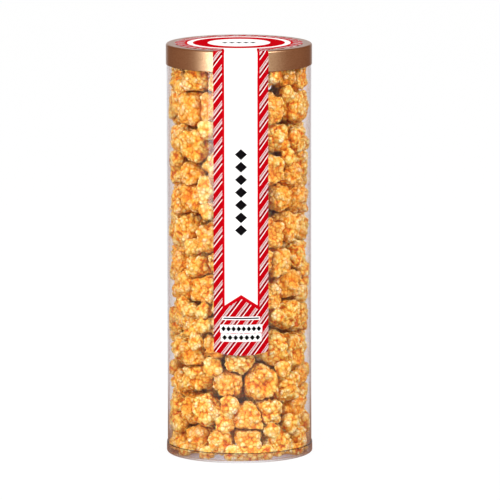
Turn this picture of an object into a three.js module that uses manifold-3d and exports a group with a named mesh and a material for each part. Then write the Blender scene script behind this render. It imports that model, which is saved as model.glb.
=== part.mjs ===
// Gift tube: a clear tube full of coated popcorn, closed by a clear base cap and a slip-on metal lid,
// with one paper label that lies on the lid and runs down the front of the tube.
// Millimetres, +Z up, origin at the middle of the underside, the label on the -Y side.

import * as THREE from "three";
import { mergeVertices } from "three/addons/utils/BufferGeometryUtils.js";
import Module from "manifold-3d";

const wasm = await Module();
wasm.setup();

// Driving dimensions of the whole
const OVERALL_HEIGHT = 254;
const ROUND_STEPS = 60;

// Driving dimensions of the tube
const TUBE_OUTER_DIAMETER = 88.9;
const TUBE_WALL = 0.6;

// Driving dimensions of the base cap
const CAP_HEIGHT = 6.35;
const CAP_WALL = 0.4;
const CAP_FLOOR = 1.2;
const CAP_EDGE_RADIUS = 1.2;

// Driving dimensions of the lid
const LID_HEIGHT = 12.7;
const LID_SHEET = 0.3;
const LID_SHOULDER_RADIUS = 1.2;

// Driving dimensions of the label
const LABEL_SHEET = 0.2;
const LABEL_HEAD_RADIUS = 39.2;
const LABEL_STRIP_WIDTH = 34.2;
const LABEL_STRIP_END = 66.9;
const LABEL_END_RADIUS = 67;
const LABEL_BRIDGE = 4;

// Driving dimensions of the popcorn
const HEAD_SPACE = 9;
const POPCORN_LAYERS = 13;
const PIECES_PER_QUARTER = 3;
const PIECE_SWELL = 1.27;
const NECK_RADIUS = 2;

// How the pieces lie, as shares of a layer's height and of the ring beside the wall
const WALL_SETBACK = 0.56;
const CORE_SHARE = 0.45;

// How much the pieces differ: places as shares of a layer's height, and sizes as shares of themselves
const SPREAD = { radius: 0.06, angle: 0.26, height: 0.24, size: 0.12, lobe: 0.14 };

// The lobes of a popped piece, as shares of its radius
const LOBES_AT_MOST = 27;
const LOBE_OUT = 0.6;
const LOBE_RADIUS = 0.43;
const HEART_RADIUS = 0.74;
const FARTHEST_REACH = (LOBE_OUT + LOBE_RADIUS) * (1 + SPREAD.lobe);

// Clearances
const SLIP_CLEARANCE = 0.15;
const SEAT_GAP = 0.3;
const LABEL_GAP = 0.15;
const PIECE_GAP = 0.3;

// Sizes that follow from the driving dimensions
const TUBE_OUTER_RADIUS = TUBE_OUTER_DIAMETER / 2;
const TUBE_INNER_RADIUS = TUBE_OUTER_RADIUS - TUBE_WALL;
const TUBE_BOTTOM = CAP_FLOOR + SEAT_GAP;
const TUBE_TOP = OVERALL_HEIGHT - LID_SHOULDER_RADIUS;
const CAP_INNER_RADIUS = TUBE_OUTER_RADIUS + SLIP_CLEARANCE;
const CAP_OUTER_RADIUS = CAP_INNER_RADIUS + CAP_WALL;
const LID_INNER_RADIUS = TUBE_OUTER_RADIUS + SLIP_CLEARANCE;
const LID_OUTER_RADIUS = LID_INNER_RADIUS + LID_SHEET;
const LID_LOWER_EDGE = OVERALL_HEIGHT - LID_HEIGHT;
const FILL_BOTTOM = CAP_FLOOR + PIECE_GAP;
const FILL_TOP = TUBE_TOP - HEAD_SPACE;
const FILL_RADIUS = TUBE_INNER_RADIUS * Math.cos(Math.PI / ROUND_STEPS) - PIECE_GAP;

const QUARTER = Math.PI / 2;
const UPWARDS = new THREE.Vector3(0, 0, 1);
const EDGE_STEPS = 3;
const STRIP_STEPS = 8;

// Finishes
const clearPlastic = new THREE.MeshStandardMaterial({
  color: 0xe9edf0, roughness: 0.08, metalness: 0, transparent: true, opacity: 0.25,
});
const satinGold = new THREE.MeshStandardMaterial({ color: 0xb8946a, roughness: 0.35, metalness: 1 });
const paper = new THREE.MeshStandardMaterial({ color: 0xf4efec, roughness: 0.6, metalness: 0 });
const coatedCorn = new THREE.MeshStandardMaterial({ color: 0xefb266, roughness: 0.7, metalness: 0 });

const giftTube = new THREE.Group();

function addPiece(name, geometry, material) {
  const piece = new THREE.Mesh(geometry, material);
  piece.name = name;
  giftTube.add(piece);
}

// Points of a profile given as [radius, height] pairs.
function profile(...pairs) {
  return pairs.map(([radius, height]) => new THREE.Vector2(radius, height));
}

// A quarter round about a centre, from one angle to the other, as profile points.
function quarterRound(radius, height, round, from, to) {
  const steps = [...Array(EDGE_STEPS + 1).keys()];
  return steps.map((step) => {
    const angle = from + ((to - from) * step) / EDGE_STEPS;
    return new THREE.Vector2(radius + round * Math.cos(angle), height + round * Math.sin(angle));
  });
}

// Turns a profile round the vertical axis.
function revolve(points) {
  const geometry = new THREE.LatheGeometry(points, ROUND_STEPS);
  geometry.rotateX(QUARTER);
  return geometry;
}

function merged(geometry) {
  const bare = geometry.clone();
  bare.deleteAttribute("normal");
  bare.deleteAttribute("uv");
  return mergeVertices(bare);
}

function toSolid(geometry) {
  const { attributes, index } = merged(geometry);
  return new wasm.Manifold(new wasm.Mesh({
    numProp: 3,
    vertProperties: new Float32Array(attributes.position.array),
    triVerts: new Uint32Array(index.array),
  }));
}

function fromSolid(solid) {
  const { vertProperties, triVerts } = solid.getMesh();
  const geometry = new THREE.BufferGeometry();
  geometry.setAttribute("position", new THREE.BufferAttribute(vertProperties, 3));
  geometry.setIndex(new THREE.BufferAttribute(triVerts, 1));
  geometry.computeVertexNormals();
  return geometry;
}

// Joins geometries that reach into each other into one closed body.
function joined(geometries) {
  const solids = geometries.map(toSolid);
  return fromSolid(solids.reduce((whole, solid) => whole.add(solid)));
}

// The tube is an extruded wall, open at both ends. Its rim stops where the lid's shoulder turns in.
function clearTube() {
  const corners = profile(
    [TUBE_INNER_RADIUS, TUBE_BOTTOM],
    [TUBE_OUTER_RADIUS, TUBE_BOTTOM],
    [TUBE_OUTER_RADIUS, TUBE_TOP],
    [TUBE_INNER_RADIUS, TUBE_TOP],
    [TUBE_INNER_RADIUS, TUBE_BOTTOM],
  );
  return revolve(corners);
}

// The base cap is a shallow cup: a flat floor inside the tube's end and a skirt round its outside.
function baseCap() {
  const underside = profile([0, 0]);
  const edge = quarterRound(
    CAP_OUTER_RADIUS - CAP_EDGE_RADIUS, CAP_EDGE_RADIUS, CAP_EDGE_RADIUS, -QUARTER, 0,
  );
  const skirtAndFloor = profile(
    [CAP_OUTER_RADIUS, CAP_HEIGHT],
    [CAP_INNER_RADIUS, CAP_HEIGHT],
    [CAP_INNER_RADIUS, CAP_FLOOR],
    [0, CAP_FLOOR],
  );
  return revolve([...underside, ...edge, ...skirtAndFloor]);
}

// The lid is drawn from one sheet: a flat top, a rounded shoulder and a plain skirt.
function lid() {
  const shoulderRadius = LID_OUTER_RADIUS - LID_SHOULDER_RADIUS;
  const shoulderHeight = OVERALL_HEIGHT - LID_SHOULDER_RADIUS;
  const insideRound = LID_SHOULDER_RADIUS - LID_SHEET;
  return revolve([
    ...profile([0, OVERALL_HEIGHT - LID_SHEET]),
    ...quarterRound(shoulderRadius, shoulderHeight, insideRound, QUARTER, 0),
    ...profile([LID_INNER_RADIUS, LID_LOWER_EDGE], [LID_OUTER_RADIUS, LID_LOWER_EDGE]),
    ...quarterRound(shoulderRadius, shoulderHeight, LID_SHOULDER_RADIUS, 0, QUARTER),
    ...profile([0, OVERALL_HEIGHT]),
  ]);
}

// How far the label's strip reaches down at a distance from its middle line: its end is a shallow arc.
function stripEnd(across) {
  return LABEL_STRIP_END + LABEL_END_RADIUS - Math.sqrt(LABEL_END_RADIUS ** 2 - across ** 2);
}

// One line of the strip from the head to its lower end, at an angle from the front and a height above
// what it lies on: along the lid's top, round its shoulder, down its skirt and on to the tube.
function stripLine(angle, above) {
  const sine = Math.sin(angle);
  const cosine = Math.cos(angle);
  const shoulderRadius = LID_OUTER_RADIUS - LID_SHOULDER_RADIUS;
  const shoulder = quarterRound(
    shoulderRadius, OVERALL_HEIGHT - LID_SHOULDER_RADIUS, LID_SHOULDER_RADIUS + above, QUARTER, 0,
  );
  const down = [
    ...shoulder,
    ...profile(
      [LID_OUTER_RADIUS + above, LID_LOWER_EDGE],
      [TUBE_OUTER_RADIUS + above, LID_LOWER_EDGE - LABEL_BRIDGE],
      [TUBE_OUTER_RADIUS + above, stripEnd(TUBE_OUTER_RADIUS * angle)],
    ),
  ];
  const start = new THREE.Vector3(
    shoulderRadius * sine, -LABEL_HEAD_RADIUS / 2, OVERALL_HEIGHT + above,
  );
  return [start, ...down.map((point) => new THREE.Vector3(point.x * sine, -point.x * cosine, point.y))];
}

// A closed sheet between two faces that are grids of points with the same rows and columns.
function sheetBetween(inner, outer) {
  const columns = inner.length;
  const rows = inner[0].length;
  const points = [...inner.flat(), ...outer.flat()];
  const at = (face, column, row) => face * columns * rows + column * rows + row;
  const triangles = [];
  const quad = (a, b, c, d) => triangles.push(a, b, c, a, c, d);
  for (let column = 0; column < columns - 1; column += 1) {
    for (let row = 0; row < rows - 1; row += 1) {
      quad(at(1, column, row), at(1, column, row + 1), at(1, column + 1, row + 1), at(1, column + 1, row));
      quad(at(0, column, row), at(0, column + 1, row), at(0, column + 1, row + 1), at(0, column, row + 1));
    }
    quad(at(0, column, 0), at(1, column, 0), at(1, column + 1, 0), at(0, column + 1, 0));
    const end = rows - 1;
    quad(at(0, column, end), at(0, column + 1, end), at(1, column + 1, end), at(1, column, end));
  }
  for (let row = 0; row < rows - 1; row += 1) {
    const side = columns - 1;
    quad(at(0, 0, row), at(0, 0, row + 1), at(1, 0, row + 1), at(1, 0, row));
    quad(at(0, side, row), at(1, side, row), at(1, side, row + 1), at(0, side, row + 1));
  }
  const geometry = new THREE.BufferGeometry().setFromPoints(points);
  geometry.setIndex(triangles);
  return geometry;
}

// The label is one die-cut sheet: a round head on the lid's top, and a strip folded down the front.
function label() {
  const head = new THREE.CylinderGeometry(
    LABEL_HEAD_RADIUS, LABEL_HEAD_RADIUS, LABEL_SHEET, ROUND_STEPS,
  );
  head.rotateX(QUARTER);
  head.translate(0, 0, OVERALL_HEIGHT + LABEL_GAP + LABEL_SHEET / 2);
  const halfAngle = LABEL_STRIP_WIDTH / 2 / TUBE_OUTER_RADIUS;
  const angles = [...Array(STRIP_STEPS + 1).keys()].map((step) => halfAngle * ((2 * step) / STRIP_STEPS - 1));
  const strip = sheetBetween(
    angles.map((angle) => stripLine(angle, LABEL_GAP)),
    angles.map((angle) => stripLine(angle, LABEL_GAP + LABEL_SHEET)),
  );
  return joined([head, strip]);
}

// A repeatable number from -1 to 1 for each trait of each piece of popcorn, or of each of its lobes.
const TRAITS = { angle: 2, radius: 3, height: 5, size: 7, lobe: 11 };
function either(number, trait) {
  return (((number + 1) ** 2 * Math.sqrt(TRAITS[trait])) % 1) * 2 - 1;
}

// The popcorn lies in layers. A layer has four quarters, and a quarter has a few pieces side by side
// along the wall and one behind them. The pieces of a quarter cling together, as coated popcorn does.
const LAYER_PITCH = (FILL_TOP - FILL_BOTTOM) / POPCORN_LAYERS;
const WALL_RING = FILL_RADIUS - LAYER_PITCH * WALL_SETBACK;
const CORE_RING = WALL_RING * CORE_SHARE;
const WALL_PITCH = (QUARTER * WALL_RING) / PIECES_PER_QUARTER;
const PIECE_RADIUS = (PIECE_SWELL * Math.max(LAYER_PITCH, WALL_PITCH)) / 2;

function layPopcorn() {
  const pieces = [];
  const lay = (cluster, clingsTo, ring, angle, layer) => {
    const number = pieces.length;
    const out = ring + SPREAD.radius * LAYER_PITCH * either(number, "radius");
    const turn = angle + (SPREAD.angle * LAYER_PITCH * either(number, "angle")) / WALL_RING;
    const level = layer + 0.5 + SPREAD.height * either(number, "height");
    const height = FILL_BOTTOM + LAYER_PITCH * level;
    const centre = new THREE.Vector3(out * Math.cos(turn), out * Math.sin(turn), height);
    const radius = PIECE_RADIUS * (1 + SPREAD.size * either(number, "size"));
    pieces.push({ number, cluster, clingsTo, turn, centre, radius, hidden: ring === CORE_RING });
    return number;
  };
  for (let layer = 0; layer < POPCORN_LAYERS; layer += 1) {
    for (let quarter = 0; quarter < 4; quarter += 1) {
      const cluster = 4 * layer + quarter;
      const start = QUARTER * (quarter + layer / PIECES_PER_QUARTER / 2);
      const first = pieces.length;
      for (let step = 0; step < PIECES_PER_QUARTER; step += 1) {
        const angle = start + (QUARTER * (step + 0.5)) / PIECES_PER_QUARTER;
        lay(cluster, step > 0 ? pieces.length - 1 : undefined, WALL_RING, angle, layer);
      }
      const middle = first + Math.floor(PIECES_PER_QUARTER / 2);
      lay(cluster, middle, CORE_RING, start + QUARTER / 2, layer);
    }
  }
  return pieces;
}

// How far along the way to its neighbour a piece's own room ends.
function shareOfRoom(piece, other) {
  return piece.radius / (piece.radius + other.radius);
}

// The flat faces round a piece's own room, as a direction and a distance from its centre.
function facesOfRoom(piece, pieces) {
  const faces = [
    { direction: new THREE.Vector3(0, 0, -1), distance: piece.centre.z - FILL_BOTTOM },
    { direction: UPWARDS, distance: FILL_TOP - piece.centre.z },
  ];
  for (const other of pieces) {
    const towards = other.centre.clone().sub(piece.centre);
    const apart = towards.length();
    if (other !== piece && apart < FARTHEST_REACH * (piece.radius + other.radius)) {
      const distance = apart * shareOfRoom(piece, other) - PIECE_GAP / 2;
      faces.push({ direction: towards.divideScalar(apart), distance });
    }
  }
  return faces;
}

// How far it is from a piece's centre to the tube's inner wall in a direction.
function distanceToWall(centre, direction) {
  const a = direction.x ** 2 + direction.y ** 2;
  const b = centre.x * direction.x + centre.y * direction.y;
  const c = centre.x ** 2 + centre.y ** 2 - FILL_RADIUS ** 2;
  return a < 1e-9 ? Infinity : (Math.sqrt(b * b - a * c) - b) / a;
}

// A popped piece has a lobe towards each face and each corner of a cube, and each has its own size.
function lobesOf(piece) {
  const lobes = [];
  for (const x of [-1, 0, 1]) {
    for (const y of [-1, 0, 1]) {
      for (const z of [-1, 0, 1]) {
        if (Math.abs(x) + Math.abs(y) + Math.abs(z) === 1 || x * y * z !== 0) {
          const lobe = LOBES_AT_MOST * piece.number + lobes.length;
          const size = piece.radius * (1 + SPREAD.lobe * either(lobe, "lobe"));
          const direction = new THREE.Vector3(x, y, z).normalize().applyAxisAngle(UPWARDS, piece.turn);
          lobes.push({ centre: direction.multiplyScalar(LOBE_OUT * size), radius: LOBE_RADIUS * size });
        }
      }
    }
  }
  return lobes;
}

// How far a piece reaches in a direction: to the farthest of its lobes, and at least to its heart.
function lobedReach(piece, lobes, direction) {
  let reach = HEART_RADIUS * piece.radius;
  for (const lobe of lobes) {
    const along = direction.dot(lobe.centre);
    const inside = along ** 2 - lobe.centre.lengthSq() + lobe.radius ** 2;
    if (inside > 0) {
      reach = Math.max(reach, along + Math.sqrt(inside));
    }
  }
  return reach;
}

// A piece is a ball whose corners reach out to its lobes, or to the face or the wall that stops them
// first. A piece behind the others has fewer corners.
function poppedPiece(piece, pieces) {
  const plain = piece.hidden ? new THREE.IcosahedronGeometry(1) : new THREE.BoxGeometry(1, 1, 1, 2, 2, 2);
  const ball = merged(plain);
  ball.rotateZ(piece.turn);
  const roomFaces = facesOfRoom(piece, pieces);
  const lobes = lobesOf(piece);
  const at = ball.attributes.position;
  const corners = [...Array(at.count).keys()].map((corner) => {
    const direction = new THREE.Vector3().fromBufferAttribute(at, corner).normalize();
    const lobed = lobedReach(piece, lobes, direction);
    let reach = Math.min(lobed, distanceToWall(piece.centre, direction));
    for (const face of roomFaces) {
      const slope = direction.dot(face.direction);
      if (slope > 0) {
        reach = Math.min(reach, face.distance / slope);
      }
    }
    return direction.multiplyScalar(reach).add(piece.centre);
  });
  const triangles = [];
  for (let start = 0; start < ball.index.count; start += 3) {
    triangles.push([0, 1, 2].map((step) => ball.index.getX(start + step)));
  }
  return { corners, triangles, held: new Set() };
}

// Moves the triangle of a ball that fits three points best on to them, and takes it out of the ball.
function openOnto(ball, points) {
  let best = { cost: Infinity };
  for (const triangle of ball.triangles) {
    if (triangle.some((corner) => ball.held.has(corner))) {
      continue;
    }
    for (const turn of [0, 1, 2]) {
      const order = [0, 1, 2].map((step) => triangle[(step + turn) % 3]);
      const cost = order.reduce(
        (sum, corner, step) => sum + ball.corners[corner].distanceToSquared(points[step]), 0,
      );
      if (cost < best.cost) {
        best = { cost, triangle, order };
      }
    }
  }
  best.order.forEach((corner, step) => {
    ball.corners[corner] = points[step];
    ball.held.add(corner);
  });
  ball.triangles = ball.triangles.filter((triangle) => triangle !== best.triangle);
}

// Two pieces that cling together share a small three-sided neck in the flat face between their rooms.
function cling(piece, ball, other, otherBall) {
  const towards = other.centre.clone().sub(piece.centre);
  const middle = piece.centre.clone().addScaledVector(towards, shareOfRoom(piece, other));
  const axis = towards.normalize();
  const up = UPWARDS.clone().projectOnPlane(axis).normalize();
  const neck = [0, 1, 2].map((step) => {
    const spoke = up.clone().applyAxisAngle(axis, (step * 2 * Math.PI) / 3);
    return middle.clone().addScaledVector(spoke, NECK_RADIUS);
  });
  openOnto(ball, neck);
  openOnto(otherBall, neck.toReversed());
}

function addPopcorn() {
  const pieces = layPopcorn();
  const balls = pieces.map((piece) => poppedPiece(piece, pieces));
  for (const piece of pieces.filter(({ clingsTo }) => clingsTo !== undefined)) {
    cling(piece, balls[piece.number], pieces[piece.clingsTo], balls[piece.clingsTo]);
  }
  for (let cluster = 0; cluster < 4 * POPCORN_LAYERS; cluster += 1) {
    const members = pieces.filter((piece) => piece.cluster === cluster).map(({ number }) => balls[number]);
    const points = members.flatMap(({ corners, triangles }) => {
      return triangles.flat().map((corner) => corners[corner]);
    });
    const geometry = mergeVertices(new THREE.BufferGeometry().setFromPoints(points));
    geometry.computeVertexNormals();
    addPiece(`popcorn_${String(cluster + 1).padStart(2, "0")}`, geometry, coatedCorn);
  }
}

addPiece("clear_tube", clearTube(), clearPlastic);
addPiece("base_cap", baseCap(), clearPlastic);
addPiece("lid", lid(), satinGold);
addPiece("label", label(), paper);
addPopcorn();

export default giftTube;
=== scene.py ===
"""A clear gift tube of coated popcorn, with a satin gold slip lid, a clear base cap and a striped label.
Metres, +Z up, the label at the front on the -Y side. Sizes written in millimetres end in _MM."""

import math

import bmesh
import bpy
import numpy as np
from mathutils import Matrix, Vector


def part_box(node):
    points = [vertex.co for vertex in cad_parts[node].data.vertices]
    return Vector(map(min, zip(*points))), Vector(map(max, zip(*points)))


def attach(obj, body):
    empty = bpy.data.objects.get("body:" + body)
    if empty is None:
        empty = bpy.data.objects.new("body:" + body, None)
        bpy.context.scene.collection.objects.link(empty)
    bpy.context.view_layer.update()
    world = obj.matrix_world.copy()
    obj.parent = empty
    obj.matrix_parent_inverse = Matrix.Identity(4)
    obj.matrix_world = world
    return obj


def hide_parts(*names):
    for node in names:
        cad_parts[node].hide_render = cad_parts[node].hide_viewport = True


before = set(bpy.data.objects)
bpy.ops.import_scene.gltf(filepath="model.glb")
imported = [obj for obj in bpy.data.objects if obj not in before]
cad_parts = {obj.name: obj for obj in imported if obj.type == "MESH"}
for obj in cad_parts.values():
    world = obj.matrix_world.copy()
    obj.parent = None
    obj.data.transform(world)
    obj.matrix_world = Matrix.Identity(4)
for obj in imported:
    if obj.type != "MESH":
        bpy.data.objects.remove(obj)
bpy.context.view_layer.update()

MM = 0.001

# The frame's own sizes
TUBE_LOW_MM, TUBE_HIGH_MM = (np.array(corner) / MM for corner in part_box("clear_tube"))
CAP_HIGH_MM = np.array(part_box("base_cap")[1]) / MM
LID_LOW_MM, LID_HIGH_MM = (np.array(corner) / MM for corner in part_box("lid"))
TUBE_RADIUS_MM = TUBE_HIGH_MM[0]
CAP_RADIUS_MM = CAP_HIGH_MM[0]
LID_RADIUS_MM = LID_HIGH_MM[0]
LID_TOP_MM = LID_HIGH_MM[2]

# Walls and rounded edges
TUBE_WALL_MM = 0.6
TUBE_RIM_ROUND_MM = 0.2
CAP_WALL_MM = 0.4
CAP_FLOOR_MM = 1.2
CAP_EDGE_MM = 1.2
LID_SHEET_MM = 0.3
SHOULDER_MM = 1.2
HUB_MM = 0.02
SUPPORT_RING_MM = 20
ROUND_STEPS = 192
RIM_STEPS = 3
LIP_STEPS = 6
EDGE_STEPS = 8
SHOULDER_STEPS = 10
LONG_STRETCH_MM = 2
HOLD_MM = 0.15
CREASE_DEG = 50
PAPER_CREASE_DEG = 60

# The clear plastic
PLASTIC_IOR = 1.33
FILM_TINT = (0.985, 0.985, 0.99, 1)
FILM_SMUDGE = 0.05
MOULDING_TINT = (0.86, 0.83, 0.88, 1)
MOULDING_SMUDGE = 0.07
# Painted shade: the colour over the top of the base cap's lip, and how deep that band reaches
LIP_PAINTED_SHADE = (0.3, 0.28, 0.34, 1)
LIP_SHADE_MM = 0.5
SMEARS_TO_THE_METRE = 60

# The label
PAPER_MM = 0.14
PAPER_LIFT_MM = 0.03
HEAD_RADIUS_MM = 39.2
STRIP_HALF_MM = 17.1
STRIP_END_MM = 66.9
STRIP_END_RADIUS_MM = 67
STRIP_END_BEND_MM = 20
BRIDGE_MM = 4
FLAT_UNTIL_MM = 33
OVER_EDGE_FROM_MM = 0.8
OVER_EDGE_PAST_MM = 3.5
STRIP_PAST_MM = 4.2
HEAD_ROWS = 60
OVER_EDGE_ROWS = 26
STRIP_ROWS = 110
SHEET_COLUMNS = 41
HEAD_START = 0.03

# Relief of the popcorn's surface: depths in millimetres, and reaches as shares of a piece's radius
CURDS = {"count": 60, "out": 0.84, "size_low": 0.13, "size_high": 0.24}
CURD_DEPTH_MM = 1.1
CURD_FOOT = 0.8
CURD_RISE = 0.22
KERNELS = {"count": 260, "out": 0.92, "size_low": 0.055, "size_high": 0.1}
KERNEL_DEPTH_MM = 0.45
KERNEL_FOOT = 0.88
KERNEL_RISE = 0.11
PUFF_UNEASE = 0.9
PUFF_NEAR = 0.94
PUFF_FAR = 1.05
LOBE_RISE = 0.15
FOLD_DEPTH_MM = 0.4
CLEFT_DEPTH_MM = 1.7
CLEFT_WIDTH = 0.08
CLEFT_START = 0.3
# Painted shade inside a cleft
CLEFT_SHADE = 0.9
CUP_DEPTH_MM = 3.4
CUP_EVERY = 6
CUP_HALF_DEG = 34
CUP_BLUNTNESS = 0.7
CUP_TILT_MM = 14
# Faces pressed on a neighbour: how far the press reaches, the painted shade there, and how much relief is
# smoothed
TOUCH_MM = 1.5
TOUCH_SHADE = 0.4
TOUCH_FIT = 0.6
PRESS_FIRMNESS = 1.0
# How much each kind of height lifts a point's crown value, below which the colour is deep orange, partly
# as painted shade
CURD_CROWN = 0.62
KERNEL_CROWN = 0.38
LOBE_CROWN = 0.25
FIRST_PIECE_SEED = 1000

# Broken bits between the pieces
CRUMBS = 130
CRUMB_SEED = 7
CRUMB_SPOTS = 6000
CRUMB_LOW_MM = 2.6
CRUMB_HIGH_MM = 6
CRUMB_SPARE_MM = 1.6
CRUMBS_DEEP_MM = 9
CRUMBS_APART_MM = 5
CRUMB_REACH = 0.9
CRUMB_PUFFS = {"count": 15, "out": 0.62, "size_low": 0.34, "size_high": 0.6}
CRUMB_FOOT = 0.8
CRUMB_RISE = 0.4
CRUMB_CROWN = 0.8
CRUMB_TINT = 0.2
FLOOR_SPOTS = 400
FLOOR_BONUS_MM = 1.2

# The popcorn's layout, as the frame has it
HEAD_SPACE_MM = 9
POPCORN_LAYERS = 13
PIECES_PER_QUARTER = 3
PIECE_SWELL = 1.27
PIECE_GAP_MM = 0.3
FRAME_ROUND_STEPS = 60
FILL_BOTTOM_MM = CAP_FLOOR_MM + PIECE_GAP_MM
FILL_TOP_MM = TUBE_HIGH_MM[2] - HEAD_SPACE_MM
FLAT_SIDED = math.cos(math.pi / FRAME_ROUND_STEPS)
FILL_RADIUS_MM = (TUBE_RADIUS_MM - TUBE_WALL_MM) * FLAT_SIDED - PIECE_GAP_MM


# Mesh helpers


def new_piece(name, points_mm, faces, material, body, slot, *nodes):
    """Makes a smooth piece from an array of points in millimetres and an array of faces of one size."""
    mesh = bpy.data.meshes.new(name)
    sides = faces.shape[1]
    mesh.vertices.add(len(points_mm))
    mesh.vertices.foreach_set("co", (np.asarray(points_mm) * MM).ravel())
    mesh.loops.add(faces.size)
    mesh.loops.foreach_set("vertex_index", faces.ravel())
    mesh.polygons.add(len(faces))
    mesh.polygons.foreach_set("loop_start", np.arange(len(faces)) * sides)
    mesh.update(calc_edges=True)
    mesh.shade_smooth()
    mesh.materials.append(material)
    piece = bpy.data.objects.new(name, mesh)
    bpy.context.scene.collection.objects.link(piece)
    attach(piece, body)
    if nodes:
        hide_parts(*nodes)
    return piece


def write_attribute(piece, name, kind, values):
    """Stores one value for each vertex of a piece, for its material to read."""
    attribute = piece.data.attributes.new(name, kind, "POINT")
    field = "vector" if kind == "FLOAT_VECTOR" else "value"
    attribute.data.foreach_set(field, np.asarray(values, dtype=np.float32).ravel())


def ring_faces(rows, columns, closed_rows=True):
    """Quads between rows of points that each go all the way round."""
    row = np.arange(rows if closed_rows else rows - 1)[:, None]
    column = np.arange(columns)[None, :]
    after, beside = (row + 1) % rows, (column + 1) % columns
    places = ((row, column), (row, beside), (after, beside), (after, column))
    return np.stack([down * columns + along for down, along in places], axis=-1).reshape(-1, 4)


def hold_ends(profile):
    """Adds a point just inside each end of each long straight stretch of a closed profile, so that the
    smooth shading of a rounded edge doesn't spread over the stretch."""
    following = np.roll(profile, -1, axis=0)
    held = []
    for start, end in zip(profile, following):
        held.append(start)
        length = np.linalg.norm(end - start)
        if length > LONG_STRETCH_MM:
            step = (end - start) / length * HOLD_MM
            held += [start + step, end - step]
    return np.array(held)


def revolve(profile_mm):
    """A closed profile (r, z) turned round the Z axis: x = r cos t, y = r sin t, with t all the way round.
    The profile runs anticlockwise, so that its faces point outwards."""
    profile = hold_ends(np.asarray(profile_mm, dtype=float))
    turn = np.linspace(0, 2 * np.pi, ROUND_STEPS, endpoint=False)
    radius, height = profile[:, :1], profile[:, 1:]
    points = np.stack([radius * np.cos(turn), radius * np.sin(turn), height + 0 * turn], axis=-1)
    return points.reshape(-1, 3), ring_faces(len(profile), ROUND_STEPS)


def arc(radius, height, round_mm, start_deg, end_deg, steps):
    """Points of a circular arc in the profile's plane: centre plus round times (cos a, sin a)."""
    angle = np.radians(np.linspace(start_deg, end_deg, steps + 1))
    return [(radius + round_mm * math.cos(a), height + round_mm * math.sin(a)) for a in angle]


def sharpen(piece, degrees):
    """Keeps creases over an angle crisp on a smooth piece."""
    piece.data.set_sharp_from_angle(angle=math.radians(degrees))


# Material helpers


def linear(red, green, blue):
    """A colour from 0 to 255 as it looks on a screen, as linear light."""
    channels = [c / 255 for c in (red, green, blue)]
    return (*(c / 12.92 if c <= 0.04045 else ((c + 0.055) / 1.055) ** 2.4 for c in channels), 1)


def add_node(tree, kind, inputs=(), **settings):
    """Adds a node. Inputs are (name or number, value or socket) pairs, settings are the node's own."""
    node = tree.nodes.new(kind)
    for name, value in settings.items():
        setattr(node, name, value)
    for key, value in dict(inputs).items():
        if isinstance(value, bpy.types.NodeSocket):
            tree.links.new(value, node.inputs[key])
        else:
            node.inputs[key].default_value = value
    return node


def calc(tree, operation, *values):
    """One step of arithmetic on numbers or sockets."""
    return add_node(tree, "ShaderNodeMath", enumerate(values), operation=operation).outputs[0]


def mix_colour(tree, factor, low, high, blend="MIX"):
    """Low where the factor is 0 and high where it is 1."""
    node = add_node(tree, "ShaderNodeMix", data_type="RGBA", blend_type=blend)
    for socket, value in zip((node.inputs[0], node.inputs[6], node.inputs[7]), (factor, low, high)):
        if isinstance(value, bpy.types.NodeSocket):
            tree.links.new(value, socket)
        else:
            socket.default_value = value
    return node.outputs[2]


def ramp(tree, factor, stops, interpolation="LINEAR"):
    """A colour ramp with (position, colour) stops."""
    node = add_node(tree, "ShaderNodeValToRGB", {"Fac": factor})
    node.color_ramp.interpolation = interpolation
    elements = node.color_ramp.elements
    for index, (position, colour) in enumerate(stops):
        element = elements[index] if index < 2 else elements.new(position)
        element.position, element.color = position, colour
    return node.outputs["Color"]


def noise(tree, vector, scale, detail, roughness=0.5):
    """Soft noise from 0 to 1, with so many grains to the metre."""
    inputs = {"Vector": vector, "Scale": scale, "Detail": detail, "Roughness": roughness}
    return add_node(tree, "ShaderNodeTexNoise", inputs).outputs["Fac"]


def span(tree, value, low, high, to_low, to_high):
    """Maps a span of a value to another span, held at its ends."""
    inputs = enumerate((value, low, high, to_low, to_high))
    return add_node(tree, "ShaderNodeMapRange", inputs).outputs[0]


def new_material(name):
    """An empty node material, and its tree, shader and output."""
    material = bpy.data.materials.new(name)
    material.use_nodes = True
    tree = material.node_tree
    tree.nodes.clear()
    output = add_node(tree, "ShaderNodeOutputMaterial")
    shader = add_node(tree, "ShaderNodeBsdfPrincipled")
    tree.links.new(shader.outputs[0], output.inputs["Surface"])
    return material, tree, shader, output


def own_coordinates(tree):
    """A piece's own coordinates, in metres."""
    return add_node(tree, "ShaderNodeTexCoord").outputs["Object"]


def give(tree, shader, **values):
    """Sets a shader's inputs: spaces in their names are written as underscores."""
    for name, value in values.items():
        socket = shader.inputs[name.replace("_", " ")]
        if isinstance(value, bpy.types.NodeSocket):
            tree.links.new(value, socket)
        else:
            socket.default_value = value


# Levels of the studio, where 1 looks white
WORLD_LEVEL = 1.05
ROOM_FRONT = (0.95, 0.93, 0.92, 1)
ROOM_NEAR_FRONT = (0.62, 0.52, 0.46, 1)
ROOM_SIDE = (0.29, 0.125, 0.065, 1)
ROOM_BACK = (0.86, 0.84, 0.86, 1)
FLOOR_GLOW = 0.94

# Finishes

GOLD = linear(214, 178, 138)
PALE_GOLD = linear(224, 190, 150)
DEEP_GOLD = linear(160, 112, 76)
GRAINS_TO_THE_METRE = 1500
CLOUDS_TO_THE_METRE = 38


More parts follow.
